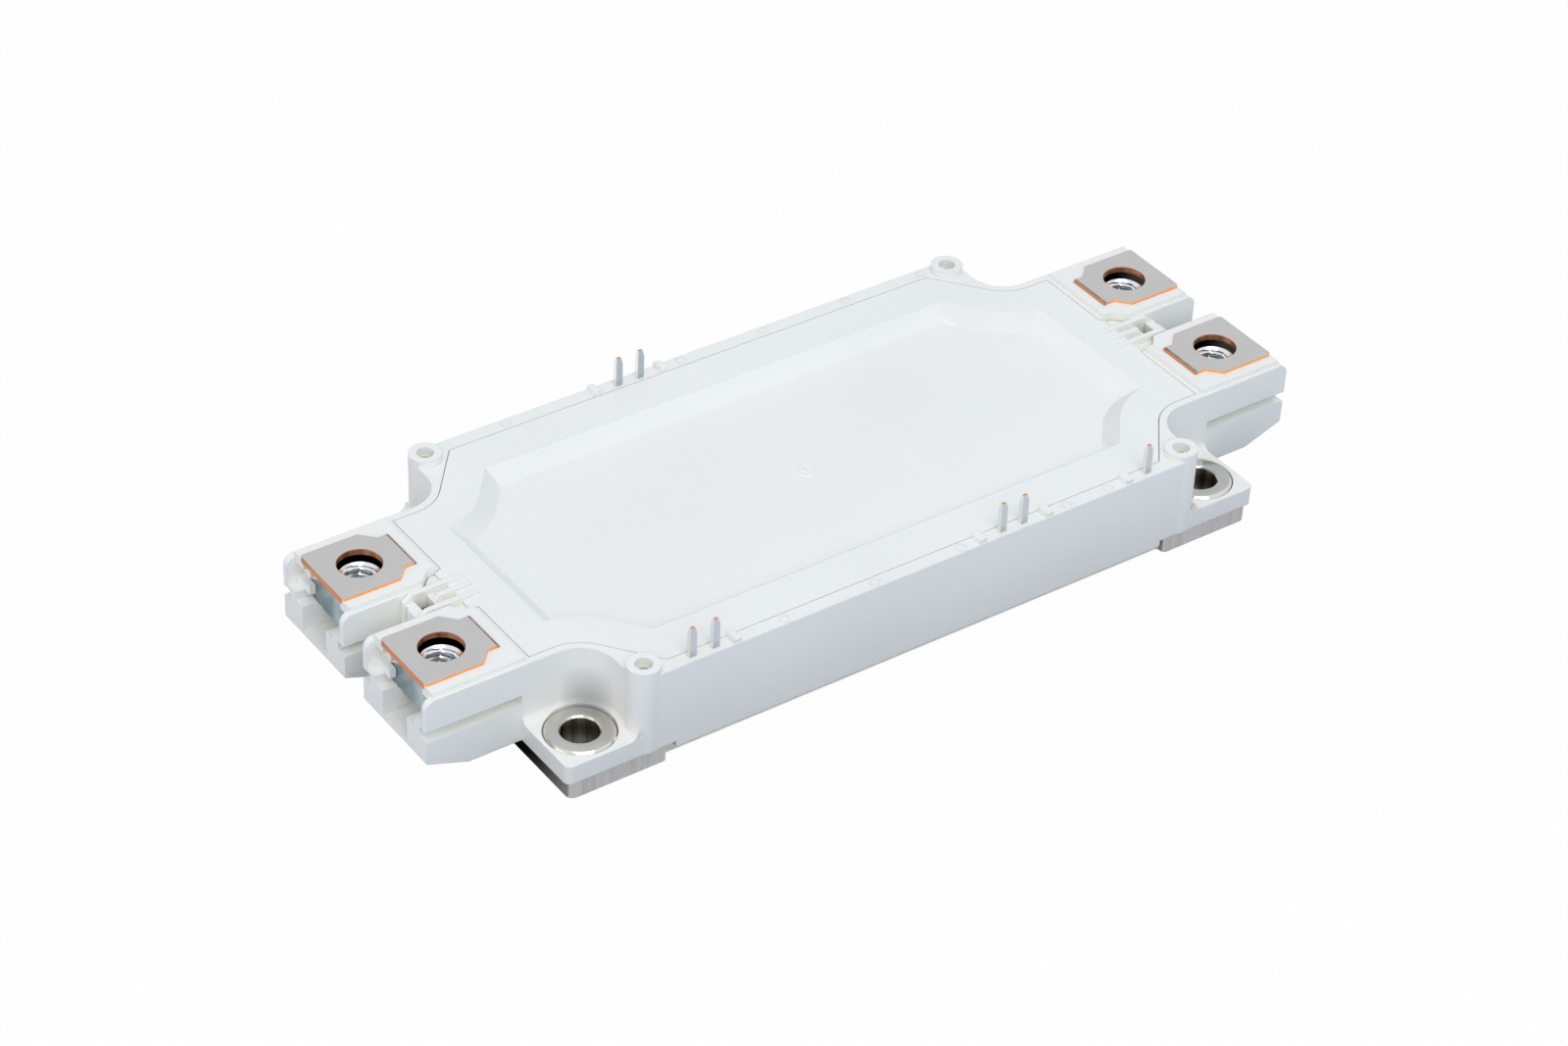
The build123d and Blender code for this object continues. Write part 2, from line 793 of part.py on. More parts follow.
def make_tracks(x):
    """The three copper tracks on top of a substrate."""
    with BuildPart() as tracks:
        with BuildSketch(Plane(origin=(x, 0, track_bottom), x_dir=(1, 0, 0), z_dir=(0, 0, 1))):
            Rectangle(copper_length, middle_track_width)
            with GridLocations(0, 2 * side_track_y, 1, 2):
                Rectangle(copper_length, side_track_width)
        extrude(amount=copper_thickness)
    return tracks


def make_ribbon(plane, start, finish):
    """One bond ribbon arching from a foot at start to a foot at finish, in a plane."""
    middle = (start[0] + finish[0]) / 2
    crown = max(start[1], finish[1]) + ribbon_rise
    with BuildSketch(plane) as arch:
        with BuildLine():
            Polyline(
                (start[0] - ribbon_pad / 2, start[1]),
                (start[0] + ribbon_pad / 2, start[1]),
                (middle, crown),
                (finish[0] - ribbon_pad / 2, finish[1]),
                (finish[0] + ribbon_pad / 2, finish[1]),
                (middle, crown + ribbon_thickness),
                close=True,
            )
        make_face()
    return arch.sketch


def make_chip_ribbons(x):
    """Ribbons of one substrate: switch to diode, and switch to the middle track."""
    with BuildPart() as ribbons:
        for side in SIDES:
            start = (x + switch_x, chip_top)
            finish = (x + diode_x, chip_top)
            arch = make_ribbon(side_plane(1, side * side_track_y), start, finish)
            extrude(arch, amount=ribbon_width / 2, both=True)
            start = (middle_track_width / 4, track_top)
            finish = (side_track_y - switch_width / 2 + ribbon_pad, chip_top)
            arch = make_ribbon(cross_plane(side, x + switch_x), start, finish)
            extrude(arch, amount=ribbon_width / 2, both=True)
    return ribbons


def make_power_ribbons():
    """Ribbons from the outer ends of the tracks up to the screw terminals' feet."""
    foot_middle = (foot_end_x + cavity_half_length) / 2
    start = (row_length / 2 - copper_margin - 2 * ribbon_pad, track_top)
    finish = (foot_middle, shelf_top + strip_thickness)
    with BuildPart() as ribbons:
        for end in ENDS:
            for side in SIDES:
                arch = make_ribbon(side_plane(end, side * terminal_y), start, finish)
                extrude(arch, amount=ribbon_width, both=True)
    return ribbons


def make_control_ribbons():
    """Narrow ribbons from the side tracks' outer edges up to the control pins' feet."""
    foot_middle = (foot_end_y + cavity_half_width) / 2
    start = (copper_width / 2 - ribbon_pad / 2, track_top)
    finish = (foot_middle, shelf_top + pin_depth)
    with BuildPart() as ribbons:
        for side, places in ((-1, near_pins), (1, far_pins)):
            for x in places:
                arch = make_ribbon(cross_plane(side, x), start, finish)
                extrude(arch, amount=ribbon_thickness, both=True)
    return ribbons


def make_gel(inner_pieces):
    """The gel that covers the circuit, moulded to everything it touches."""
    with BuildPart() as gel:
        extrude(lower_cavity(base_thickness), amount=shelf_height)
        extrude(upper_cavity(shelf_top), amount=gel_depth - shelf_height)
        add([piece.part for piece in inner_pieces], mode=Mode.SUBTRACT)
    return gel


save(make_base_plate(), "base_plate")

terminals = {}
for end in ENDS:
    for side in SIDES:
        place = f"{'left' if end < 0 else 'right'}_{'near' if side < 0 else 'far'}"
        terminals[place] = make_terminal(end, side)
        save(terminals[place], f"screw_terminal_{place}")
        save(make_nut(end, side), f"captive_nut_{place}")
        save(make_bushing(end * mount_x, side * mount_y), f"mounting_bushing_{place}")

pins = [make_pin(-1, x) for x in near_pins] + [make_pin(1, x) for x in far_pins]
for number, pin in enumerate(pins, 1):
    save(pin, f"control_pin_{number}")

save(make_frame(), "housing_frame")
save(make_lid(), "lid")

inside = []
for number in range(substrate_count):
    x = (number - (substrate_count - 1) / 2) * (substrate_length + substrate_gap)
    bottom = Plane(origin=(x, 0, base_thickness), x_dir=(1, 0, 0), z_dir=(0, 0, 1))
    middle = Plane(origin=(x, 0, ceramic_bottom), x_dir=(1, 0, 0), z_dir=(0, 0, 1))
    layers = {
        "copper_underside": make_slab(bottom, copper_length, copper_width, copper_thickness),
        "ceramic_plate": make_slab(middle, substrate_length, substrate_width, ceramic_thickness),
        "copper_tracks": make_tracks(x),
        "chip_ribbons": make_chip_ribbons(x),
    }
    for side in SIDES:
        y = side * side_track_y
        place = "near" if side < 0 else "far"
        switch = Plane(origin=(x + switch_x, y, track_top), x_dir=(1, 0, 0), z_dir=(0, 0, 1))
        diode = Plane(origin=(x + diode_x, y, track_top), x_dir=(1, 0, 0), z_dir=(0, 0, 1))
        layers[f"switch_chip_{place}"] = make_slab(switch, switch_length, switch_width, chip_thickness)
        layers[f"diode_chip_{place}"] = make_slab(diode, diode_length, diode_width, chip_thickness)
    for name, piece in layers.items():
        save(piece, f"{name}_{number + 1}")
        inside.append(piece)

sensor = Plane(origin=(substrate_length / 4, 0, track_top), x_dir=(1, 0, 0), z_dir=(0, 0, 1))
thermistor = make_slab(sensor, thermistor_length, thermistor_width, thermistor_height)
save(thermistor, "thermistor")
power_ribbons = make_power_ribbons()
save(power_ribbons, "power_ribbons")
control_ribbons = make_control_ribbons()
save(control_ribbons, "control_ribbons")
inside += [thermistor, power_ribbons, control_ribbons, *terminals.values(), *pins]
save(make_gel(inside), "gel")
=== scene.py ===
"""Looks of the power transistor module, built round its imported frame. Lengths are metres."""

import math

import bpy
from mathutils import Matrix, Vector


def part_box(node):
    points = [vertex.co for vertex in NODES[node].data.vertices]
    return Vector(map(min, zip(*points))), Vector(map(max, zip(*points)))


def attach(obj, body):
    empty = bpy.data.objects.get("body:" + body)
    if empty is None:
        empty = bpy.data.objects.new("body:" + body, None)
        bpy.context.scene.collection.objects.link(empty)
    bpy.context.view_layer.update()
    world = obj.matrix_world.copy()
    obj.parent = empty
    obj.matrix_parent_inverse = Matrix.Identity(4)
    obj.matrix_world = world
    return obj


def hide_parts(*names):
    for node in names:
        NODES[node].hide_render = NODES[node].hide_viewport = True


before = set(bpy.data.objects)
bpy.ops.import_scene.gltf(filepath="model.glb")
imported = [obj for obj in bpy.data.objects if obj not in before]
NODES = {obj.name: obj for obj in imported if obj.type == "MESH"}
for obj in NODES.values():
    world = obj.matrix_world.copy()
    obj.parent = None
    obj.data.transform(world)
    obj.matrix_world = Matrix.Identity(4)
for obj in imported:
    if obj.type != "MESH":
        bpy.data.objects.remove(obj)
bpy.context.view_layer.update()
MM = 0.001
X, Y, Z = 0, 1, 2

# Places that materials and pieces share: distances from the middle planes, and heights
SCREW_AXES = (55.0 * MM, 25.0 * MM)
TERMINAL_AXES = (68.5 * MM, 11.0 * MM)
NUT_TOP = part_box("captive_nut_left_near")[1].z
RIM_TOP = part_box("lid")[1].z
PLATE_TOP = 17.0 * MM
PLATFORM_TOP = 16.6 * MM
EAR_TOP = 6.0 * MM
BARE_TIP_Z = 20.0 * MM
RECESS_FLOOR = 13.75 * MM
CORNER_REACH = 15.2 * MM
BLOCK_ROOT = 60.5 * MM
GROOVE_ROOF = 13.0 * MM
BEND_X = 62.0 * MM
BORE_R = 2.8 * MM
FLANGE_R = 5.15 * MM
BLEND = 0.1 * MM

# Colours, as linear red, green and blue
MOULDING = (0.945, 0.94, 0.885)
# Painted shade, ivory, for the moulding's crevices
CREVICE_SHADE_IVORY = (0.905, 0.885, 0.785)
# Painted shade, brownish, for narrow gaps
SEAM_SHADE = (0.84, 0.78, 0.62)
# Painted shade, grey, behind the mounting sleeves
SLEEVE_SHADE_GREY = (0.40, 0.40, 0.39)
GAP_SHADE = (0.03, 0.03, 0.03)
PLATING = (0.545, 0.54, 0.545)
SIDE_COPPER = ((0.98, 0.42, 0.12), (1.0, 0.55, 0.24))
# Painted shade on the strip's end faces
END_FACE_SHADE_COPPER = (0.58, 0.22, 0.075)
HOLE_COPPER = ((0.36, 0.175, 0.085), (0.86, 0.42, 0.24))
HOLE_EDGE_COPPER = (0.86, 0.36, 0.20)
# Bend: thin plating, its brown partly painted shade, its upper face painted lighter
BEND_WEAR_AND_SHADE_BROWN = ((0.20, 0.14, 0.13), (0.42, 0.33, 0.32))
BEND_TOP_PAINTED_LIGHT = (0.52, 0.47, 0.45)
BEND_COPPER = (0.60, 0.26, 0.12)
TIN = (0.84, 0.84, 0.83)
# Painted shade on the pins' faces that look along y
PIN_FACE_SHADE = (0.53, 0.57, 0.62)
PIN_COPPER = (0.75, 0.26, 0.08)
FLANGE_NICKEL = ((0.67, 0.65, 0.605), (0.73, 0.71, 0.67))
# Painted shade in the sleeve bores, streaked as painted reflections
BORE_SHADE_NICKEL = ((0.15, 0.132, 0.108), (0.52, 0.48, 0.42))
# Painted shade on the flange's upright side
FLANGE_SIDE_SHADE = (0.12, 0.105, 0.075)
ZINC_PLATE = (0.74, 0.78, 0.82)
# Painted reflection: the nut sides dull blue grey, as if mirroring dark surroundings
ZINC_SIDES_SHADE = ((0.22, 0.29, 0.35), (0.38, 0.44, 0.46))
# Painted highlight on the nut chamfers
ZINC_CHAMFER_HIGHLIGHT = (0.97, 0.98, 0.99)
NUT_SHADE = (0.05, 0.045, 0.04)
BASE_METAL = (0.47, 0.47, 0.485)
# Painted reflection: the base plate's ends near black, greyer at the corners
BASE_END_SHADE = ((0.01, 0.01, 0.011), (0.04, 0.035, 0.032))
CORNER_END_SHADE = (0.22, 0.205, 0.20)
GEL_TINTS = ((0.8, 0.83, 0.8), (0.9, 0.91, 0.88))
# Painted shadow on the floor near the part
FLOOR_SHADOW_NEAR = ((0.05, 0.06, 0.075), (0.06, 0.07, 0.085))
FLOOR_FAR = (0.60, 0.66, 0.76)
HORIZON = (0.28, 0.385, 0.515)
ZENITH = (0.83, 0.85, 0.91)
PAPER_WHITE = (1, 1, 1, 1)


def shade_of(colour, factor):
    """A colour made darker or lighter, never above 1."""
    return tuple(min(1.0, c * factor) for c in colour)


# Materials
class Tree:
    """Helpers that add nodes to a node tree."""

    def __init__(self, node_tree):
        self.nt = node_tree
        self.nt.nodes.clear()

    def node(self, kind, **props):
        n = self.nt.nodes.new(kind)
        for key, value in props.items():
            setattr(n, key, value)
        return n

    def set(self, node, socket, value):
        node.inputs[socket].default_value = value

    def link(self, a, out, b, inp):
        self.nt.links.new(a.outputs[out], b.inputs[inp])

    def join(self, output, node, socket):
        self.nt.links.new(output, node.inputs[socket])

    def math(self, op, a, b=None, clamp=False):
        n = self.node("ShaderNodeMath", operation=op, use_clamp=clamp)
        for i, v in enumerate((a, b)):
            if v is None:
                continue
            if isinstance(v, (int, float)):
                n.inputs[i].default_value = v
            else:
                self.join(v, n, i)
        return n.outputs[0]

    def product(self, first, *others):
        """Masks multiplied one by one."""
        for other in others:
            first = self.math("MULTIPLY", first, other)
        return first

    def ramp(self, value, low, high, out_low=0.0, out_high=1.0):
        """Straight ramp from low to high, held level beyond both."""
        n = self.node("ShaderNodeMapRange")
        limits = (("From Min", low), ("From Max", high), ("To Min", out_low), ("To Max", out_high))
        for key, v in limits:
            self.set(n, key, v)
        self.join(value, n, "Value")
        return n.outputs["Result"]

    def mix(self, fac, a, b):
        """Colour a where fac is 0, colour b where it is 1."""
        n = self.node("ShaderNodeMix", data_type="RGBA")
        for i, v in ((0, fac), (6, a), (7, b)):
            if isinstance(v, (int, float)):
                n.inputs[i].default_value = v
            elif isinstance(v, tuple):
                n.inputs[i].default_value = (*v, 1.0) if len(v) == 3 else v
            else:
                self.join(v, n, i)
        return n.outputs[2]

    def mix_shaders(self, fac, a, b):
        n = self.node("ShaderNodeMixShader")
        self.join(fac, n, 0)
        self.join(a, n, 1)
        self.join(b, n, 2)
        return n.outputs[0]


class Shader(Tree):
    """One material round a Principled shader."""

    def __init__(self, name, base, roughness=0.5, metallic=0.0):
        self.mat = bpy.data.materials.new(name)
        self.mat.use_nodes = True
        super().__init__(self.mat.node_tree)
        self.out = self.node("ShaderNodeOutputMaterial")
        self.bsdf = self.node("ShaderNodeBsdfPrincipled")
        self.link(self.bsdf, "BSDF", self.out, "Surface")
        self.set(self.bsdf, "Base Color", (*base, 1.0))
        self.set(self.bsdf, "Roughness", roughness)
        self.set(self.bsdf, "Metallic", metallic)
        self.coord = self.node("ShaderNodeTexCoord")
        self.geom = self.node("ShaderNodeNewGeometry")

    def noise(self, scale, detail=3.0, rough=0.5, stretch=None):
        n = self.node("ShaderNodeTexNoise")
        self.set(n, "Scale", scale)
        self.set(n, "Detail", detail)
        self.set(n, "Roughness", rough)
        if stretch:
            m = self.node("ShaderNodeMapping")
            self.set(m, "Scale", stretch)
            self.link(self.coord, "Object", m, "Vector")
            self.link(m, "Vector", n, "Vector")
        else:
            self.link(self.coord, "Object", n, "Vector")
        return n.outputs["Fac"]

    def rings(self, radius, scale, detail=2.0):
        """Noise that changes with the distance from an axis only, as turning marks do."""
        n = self.node("ShaderNodeTexNoise", noise_dimensions="1D")
        self.set(n, "Scale", scale)
        self.set(n, "Detail", detail)
        self.join(radius, n, "W")
        return n.outputs["Fac"]

    def occlusion(self, distance, samples):
        """1 in the open, toward 0 deep in a crevice."""
        n = self.node("ShaderNodeAmbientOcclusion", samples=samples)
        self.set(n, "Distance", distance)
        return n.outputs["AO"]

    def drive(self, socket, value):
        self.join(value, self.bsdf, socket)

    def bump(self, heights, bevel=0.0):
        """heights: list of (height output, distance in metres, strength)."""
        normal = None
        if bevel:
            b = self.node("ShaderNodeBevel", samples=4)
            self.set(b, "Radius", bevel)
            normal = b.outputs["Normal"]
        for height, distance, strength in heights:
            n = self.node("ShaderNodeBump")
            self.set(n, "Strength", strength)
            self.set(n, "Distance", distance)
            self.join(height, n, "Height")
            if normal is not None:
                self.join(normal, n, "Normal")
            normal = n.outputs["Normal"]
        self.drive("Normal", normal)

    def axis(self, which, source="Position"):
        """One component of the place, or of the face's own normal."""
        sep = self.node("ShaderNodeSeparateXYZ")
        self.link(self.geom, source, sep, "Vector")
        return sep.outputs[which]

    def lean(self, which):
        """How far the face looks along an axis."""
        return self.axis(which, "True Normal")

    def off(self, which, source="Position"):
        """The same without its sign: the distance from a middle plane."""
        return self.math("ABSOLUTE", self.axis(which, source))

    def from_axes(self, axes):
        """Distance from the nearest of four upright axes, one in each quarter."""
        dx = self.math("SUBTRACT", self.off(X), axes[X])
        dy = self.math("SUBTRACT", self.off(Y), axes[Y])
        squares = self.math("ADD", self.math("MULTIPLY", dx, dx), self.math("MULTIPLY", dy, dy))
        return self.math("SQRT", squares)


def sleeve_wall_shade(s):
    """Painted shade: grey on the upright wall behind each mounting sleeve."""
    dx = s.math("SUBTRACT", s.off(X), SCREW_AXES[X])
    dy = s.math("SUBTRACT", s.off(Y), SCREW_AXES[Y])
    radius = s.from_axes(SCREW_AXES)
    toward_middle = s.math("MULTIPLY", s.math("ADD", dx, dy), -math.sqrt(0.5))
    return s.product(
        s.ramp(s.math("DIVIDE", toward_middle, radius), 0.72, 1.0),
        s.ramp(radius, 8.5 * MM, 6.0 * MM),
        s.ramp(s.axis(Z), 13.0 * MM, EAR_TOP),
        s.ramp(s.off(Z, "True Normal"), 1.0, 0.85),
    )


def shaded_corner_slope(s):
    """The recess's slopes that bend round the mounting screws, painted a little darker as shade.
    """
    lean = s.lean(Z)
    level = s.axis(Z)
    turn = s.math("MINIMUM", s.off(X, "True Normal"), s.off(Y, "True Normal"))
    return s.product(
        s.ramp(lean, 0.3, 0.4),
        s.ramp(lean, 0.93, 0.90),
        s.ramp(turn, 0.03, 0.06),
        s.ramp(level, RECESS_FLOOR, RECESS_FLOOR + BLEND),
        s.ramp(level, RIM_TOP, RIM_TOP - BLEND),
        s.ramp(s.from_axes(SCREW_AXES), CORNER_REACH + 2 * BLEND, CORNER_REACH),
    )


def plastic(name, base):
    """Slightly translucent moulded plastic, drawn opaque: painted ivory shade in its crevices and
    narrow gaps, painted shade dark under the plates, on the recess's corner slopes and behind the
    sleeves.
    """
    s = Shader(name, base, roughness=0.4)
    level = s.axis(Z)
    tint = s.mix(s.ramp(s.noise(30.0), 0.35, 0.6), shade_of(base, 0.975), shade_of(base, 1.005))

    below_rim = s.ramp(level, RIM_TOP - BLEND, RIM_TOP - 1.5 * BLEND)
    groove = s.product(
        s.ramp(s.off(X), BLOCK_ROOT, BLOCK_ROOT + 5 * BLEND),
        s.ramp(level, GROOVE_ROOF, GROOVE_ROOF - 5 * BLEND),
    )
    # Painted shade: ivory where ambient occlusion finds a crevice, weaker in the blocks' side
    # grooves
    crevice_shade = s.product(s.ramp(s.occlusion(4.0 * MM, 6), 0.58, 0.18), below_rim)
    crevice_shade = s.product(crevice_shade, s.math("SUBTRACT", 1.0, s.math("MULTIPLY", groove, 0.8)))
    # Painted shade: a brownish darkening in narrow gaps found by ambient occlusion
    seam_shade = s.product(s.ramp(s.occlusion(0.5 * MM, 4), 0.3, 0.1), below_rim)
    tint = s.mix(crevice_shade, tint, CREVICE_SHADE_IVORY)
    tint = s.mix(seam_shade, tint, SEAM_SHADE)
    # Painted shade: the recess's corner slopes a little darker
    tint = s.mix(shaded_corner_slope(s), tint, shade_of(base, 0.925))
    # Painted shade, grey, on the walls behind the sleeves
    tint = s.mix(sleeve_wall_shade(s), tint, SLEEVE_SHADE_GREY)

    # Painted shade: near black in the gap under the terminal plates, above the nuts
    gap = s.product(
        s.ramp(level, NUT_TOP, NUT_TOP + BLEND),
        s.ramp(level, RIM_TOP, RIM_TOP - BLEND),
        s.ramp(s.from_axes(TERMINAL_AXES), 6.4 * MM, 6.0 * MM),
    )
    s.drive("Base Color", s.mix(gap, tint, GAP_SHADE))
    s.drive("Roughness", s.ramp(s.noise(160.0), 0.25, 0.75, 0.36, 0.46))
    s.bump([(s.noise(2600.0, 2.0), 0.01 * MM, 0.2)], bevel=0.15 * MM)
    return s.mat


def brushed(s, base, roughness, spread=0.05):
    """A metal's fine specks, uneven colour and roughness."""
    speck = s.noise(900.0, 5.0, 0.7)
    cloud = s.noise(120.0, 4.0, 0.6)
    tints = shade_of(base, 1 - spread), shade_of(base, 1 + spread)
    colour = s.mix(s.ramp(cloud, 0.3, 0.7), *tints)
    rough = s.ramp(speck, 0.3, 0.75, roughness * 0.85, roughness * 1.25)
    return speck, colour, rough


def terminal_metal(name):
    """Nickel plated copper strip: bare copper shows on its cut faces, the end faces painted darker
    as shade; at the bend plating rubbed thin, painted dark brown partly as shade and lighter on
    its upper face as painted light.
    """
    s = Shader(name, (0.6, 0.6, 0.6), roughness=0.34, metallic=1.0)
    speck, colour, rough = brushed(s, PLATING, 0.36, 0.02)

    upright = s.ramp(s.off(Z, "True Normal"), 0.3, 0.2)
    cut = s.product(upright, s.ramp(s.off(X), BEND_X, BEND_X + BLEND))
    copper = s.mix(s.ramp(s.noise(700.0, 4.0, 0.7), 0.35, 0.7), *SIDE_COPPER)
    # Painted shade: cut faces that look along the strip drawn darker copper
    copper = s.mix(s.ramp(s.off(X, "True Normal"), 0.8, 0.9), copper, END_FACE_SHADE_COPPER)
    colour = s.mix(cut, colour, copper)

    hole = s.ramp(s.from_axes(TERMINAL_AXES), 4.2 * MM, 4.0 * MM)
    streaks = s.noise(420.0, 3.0, 0.6, stretch=(1.0, 1.0, 0.2))
    wall = s.mix(s.ramp(streaks, 0.4, 0.65), *HOLE_COPPER)
    edge = s.ramp(s.axis(Z), PLATE_TOP - 4 * BLEND, PLATE_TOP - BLEND)
    wall = s.mix(edge, wall, HOLE_EDGE_COPPER)
    colour = s.mix(s.product(hole, cut), colour, wall)

    # Bend of thin plating: brown partly painted shade for a dark reflection, upward-facing part
    # lighter as painted light
    bend = s.ramp(s.off(X), BEND_X + 0.8 * BLEND, BEND_X - 0.8 * BLEND)
    bend_wear_and_shade = s.mix(s.ramp(s.noise(500.0, 4.0, 0.7), 0.35, 0.7), *BEND_WEAR_AND_SHADE_BROWN)
    bend_wear_and_shade = s.mix(s.ramp(s.lean(Z), 0.55, 0.25), bend_wear_and_shade, BEND_TOP_PAINTED_LIGHT)
    foot = s.ramp(s.axis(Z), RIM_TOP + 7.5 * BLEND, RIM_TOP + 6.5 * BLEND)
    bend_wear_and_shade = s.mix(foot, bend_wear_and_shade, BEND_COPPER)
    s.drive("Base Color", s.mix(bend, colour, bend_wear_and_shade))
    s.drive("Roughness", rough)
    s.bump([(speck, 0.02 * MM, 0.2)], bevel=0.08 * MM)
    return s.mat


def pin_metal(name):
    """Tinned blade with a bare copper tip; its faces that look along y are painted darker blue
    grey as shade.
    """
    s = Shader(name, (0.8, 0.8, 0.8), roughness=0.25, metallic=1.0)
    speck, colour, rough = brushed(s, TIN, 0.25)
    # Painted shade: faces that look along y drawn darker blue grey
    colour = s.mix(s.ramp(s.off(Y, "True Normal"), 0.6, 0.8), colour, PIN_FACE_SHADE)
    tip = s.product(
        s.ramp(s.lean(Z), 0.9, 0.95),
        s.ramp(s.axis(Z), BARE_TIP_Z, BARE_TIP_Z + BLEND),
    )
    s.drive("Base Color", s.mix(tip, colour, PIN_COPPER))
    s.drive("Roughness", rough)
    s.bump([(speck, 0.01 * MM, 0.2)], bevel=0.03 * MM)
    return s.mat


def sleeve_metal(name):
    """Turned sleeve: bright flange, its side painted dark as shade, bore painted dark as shade
    with streaks as painted reflections.
    """
    s = Shader(name, (0.7, 0.7, 0.7), roughness=0.3, metallic=1.0)
    radius = s.from_axes(SCREW_AXES)
    turned = s.rings(radius, 6000.0)
    colour = s.mix(s.ramp(s.noise(220.0, 3.0, 0.6), 0.3, 0.7), *FLANGE_NICKEL)
    # Painted shade in the bore, streaked as painted reflections
    bore = s.ramp(radius, BORE_R + 0.2 * BLEND, BORE_R - 0.2 * BLEND)
    streaks = s.noise(700.0, 3.0, 0.6, stretch=(1.0, 1.0, 0.02))
    colour = s.mix(bore, colour, s.mix(s.ramp(streaks, 0.42, 0.60), *BORE_SHADE_NICKEL))
    # Painted shade: the flange's upright side drawn dark
    side = s.product(
        s.ramp(radius, FLANGE_R, FLANGE_R + 0.2 * BLEND),
        s.ramp(s.lean(Z), 0.2, 0.1),
    )
    s.drive("Base Color", s.mix(side, colour, FLANGE_SIDE_SHADE))
    polish = s.ramp(turned, 0.3, 0.7, 0.09, 0.15)
    s.drive("Roughness", s.math("ADD", polish, s.math("MULTIPLY", bore, 0.18)))
    s.bump([(turned, 0.004 * MM, 0.3)], bevel=0.04 * MM)
    return s.mat


def nut_metal(name):
    """Zinc plated nut: sides painted dull blue grey as a dark reflection, bright thread, chamfers
    painted white as highlights, top face painted dark as shade.
    """
    s = Shader(name, (0.7, 0.7, 0.7), roughness=0.25, metallic=1.0)
    speck, colour, rough = brushed(s, ZINC_PLATE, 0.2)
    radius = s.from_axes(TERMINAL_AXES)
    beyond_thread = s.ramp(radius, 4.0 * MM, 4.2 * MM)
    lean = s.off(Z, "True Normal")

    # Painted reflection: upright outer faces drawn dull blue grey, as if they mirrored dark
    # surroundings
    side = s.math("MAXIMUM", s.off(X, "True Normal"), s.off(Y, "True Normal"))
    patches = s.mix(s.ramp(s.noise(260.0, 3.0, 0.6), 0.35, 0.65), *ZINC_SIDES_SHADE)
    colour = s.mix(s.product(s.ramp(side, 0.93, 0.97), beyond_thread), colour, patches)
    # Painted shade: the top face under the plate drawn near black
    top = s.product(
        s.ramp(lean, 0.97, 0.99),
        s.ramp(s.axis(Z), NUT_TOP - 2 * BLEND, NUT_TOP - BLEND),
        s.ramp(radius, 3.1 * MM, 3.3 * MM),
    )
    colour = s.mix(top, colour, NUT_SHADE)
    # Painted highlight: the chamfers drawn white and not metallic
    chamfer = s.product(s.ramp(lean, 0.2, 0.3), s.ramp(lean, 0.97, 0.94), beyond_thread)
    s.drive("Base Color", s.mix(chamfer, colour, ZINC_CHAMFER_HIGHLIGHT))
    s.drive("Metallic", s.math("SUBTRACT", 1.0, chamfer))
    s.drive("Roughness", rough)
    s.bump([(speck, 0.01 * MM, 0.2)], bevel=0.05 * MM)
    return s.mat


def sheared(name, base):
    """Plate whose cut sides carry upright shear marks; its ends painted near black as a dark
    reflection, greyer toward the corners.
    """
    s = Shader(name, base, roughness=0.38, metallic=1.0)
    lines = s.noise(900.0, 4.0, 0.65, stretch=(1.0, 1.0, 0.06))
    band = s.noise(160.0, 3.0, 0.6, stretch=(1.0, 1.0, 0.3))
    colour = s.mix(s.ramp(lines, 0.3, 0.7), shade_of(base, 0.75), shade_of(base, 1.1))
    colour = s.mix(s.ramp(band, 0.3, 0.8, 0.0, 0.35), colour, shade_of(base, 0.7))
    # Painted reflection: end faces drawn near black, lighter toward the corners
    end = s.ramp(s.off(X, "True Normal"), 0.8, 0.95)
    dark = s.mix(s.ramp(lines, 0.35, 0.75), *BASE_END_SHADE)
    corner = s.ramp(s.off(Y), 22.5 * MM, 30.5 * MM, 0.0, 0.85)
    dark = s.mix(corner, dark, CORNER_END_SHADE)
    s.drive("Base Color", s.mix(end, colour, dark))
    s.drive("Roughness", s.ramp(lines, 0.3, 0.7, 0.3, 0.5))
    s.bump([(lines, 0.04 * MM, 0.4)], bevel=0.12 * MM)
    return s.mat


def plain(name, base, roughness, metallic=0.0, spread=0.12):
    """Finely uneven material for what the housing hides."""
    s = Shader(name, base, roughness=roughness, metallic=metallic)
    fine = s.noise(500.0, 4.0, 0.6)
    tints = shade_of(base, 1 - spread), shade_of(base, 1 + spread)
    s.drive("Base Color", s.mix(s.ramp(fine, 0.3, 0.7), *tints))
    s.drive("Roughness", s.ramp(fine, 0.25, 0.75, roughness * 0.85, min(1.0, roughness * 1.2)))
    s.bump([(fine, 0.02 * MM, 0.3)])
    return s.mat


def gel_material(name):
    """Clear soft filling."""
    s = Shader(name, (0.86, 0.88, 0.86), roughness=0.15)
    s.set(s.bsdf, "Transmission Weight", 0.8)
    s.set(s.bsdf, "IOR", 1.41)
    s.drive("Base Color", s.mix(s.ramp(s.noise(80.0), 0.3, 0.7), *GEL_TINTS))
    s.bump([(s.noise(90.0), 0.2 * MM, 0.2)])
    return s.mat


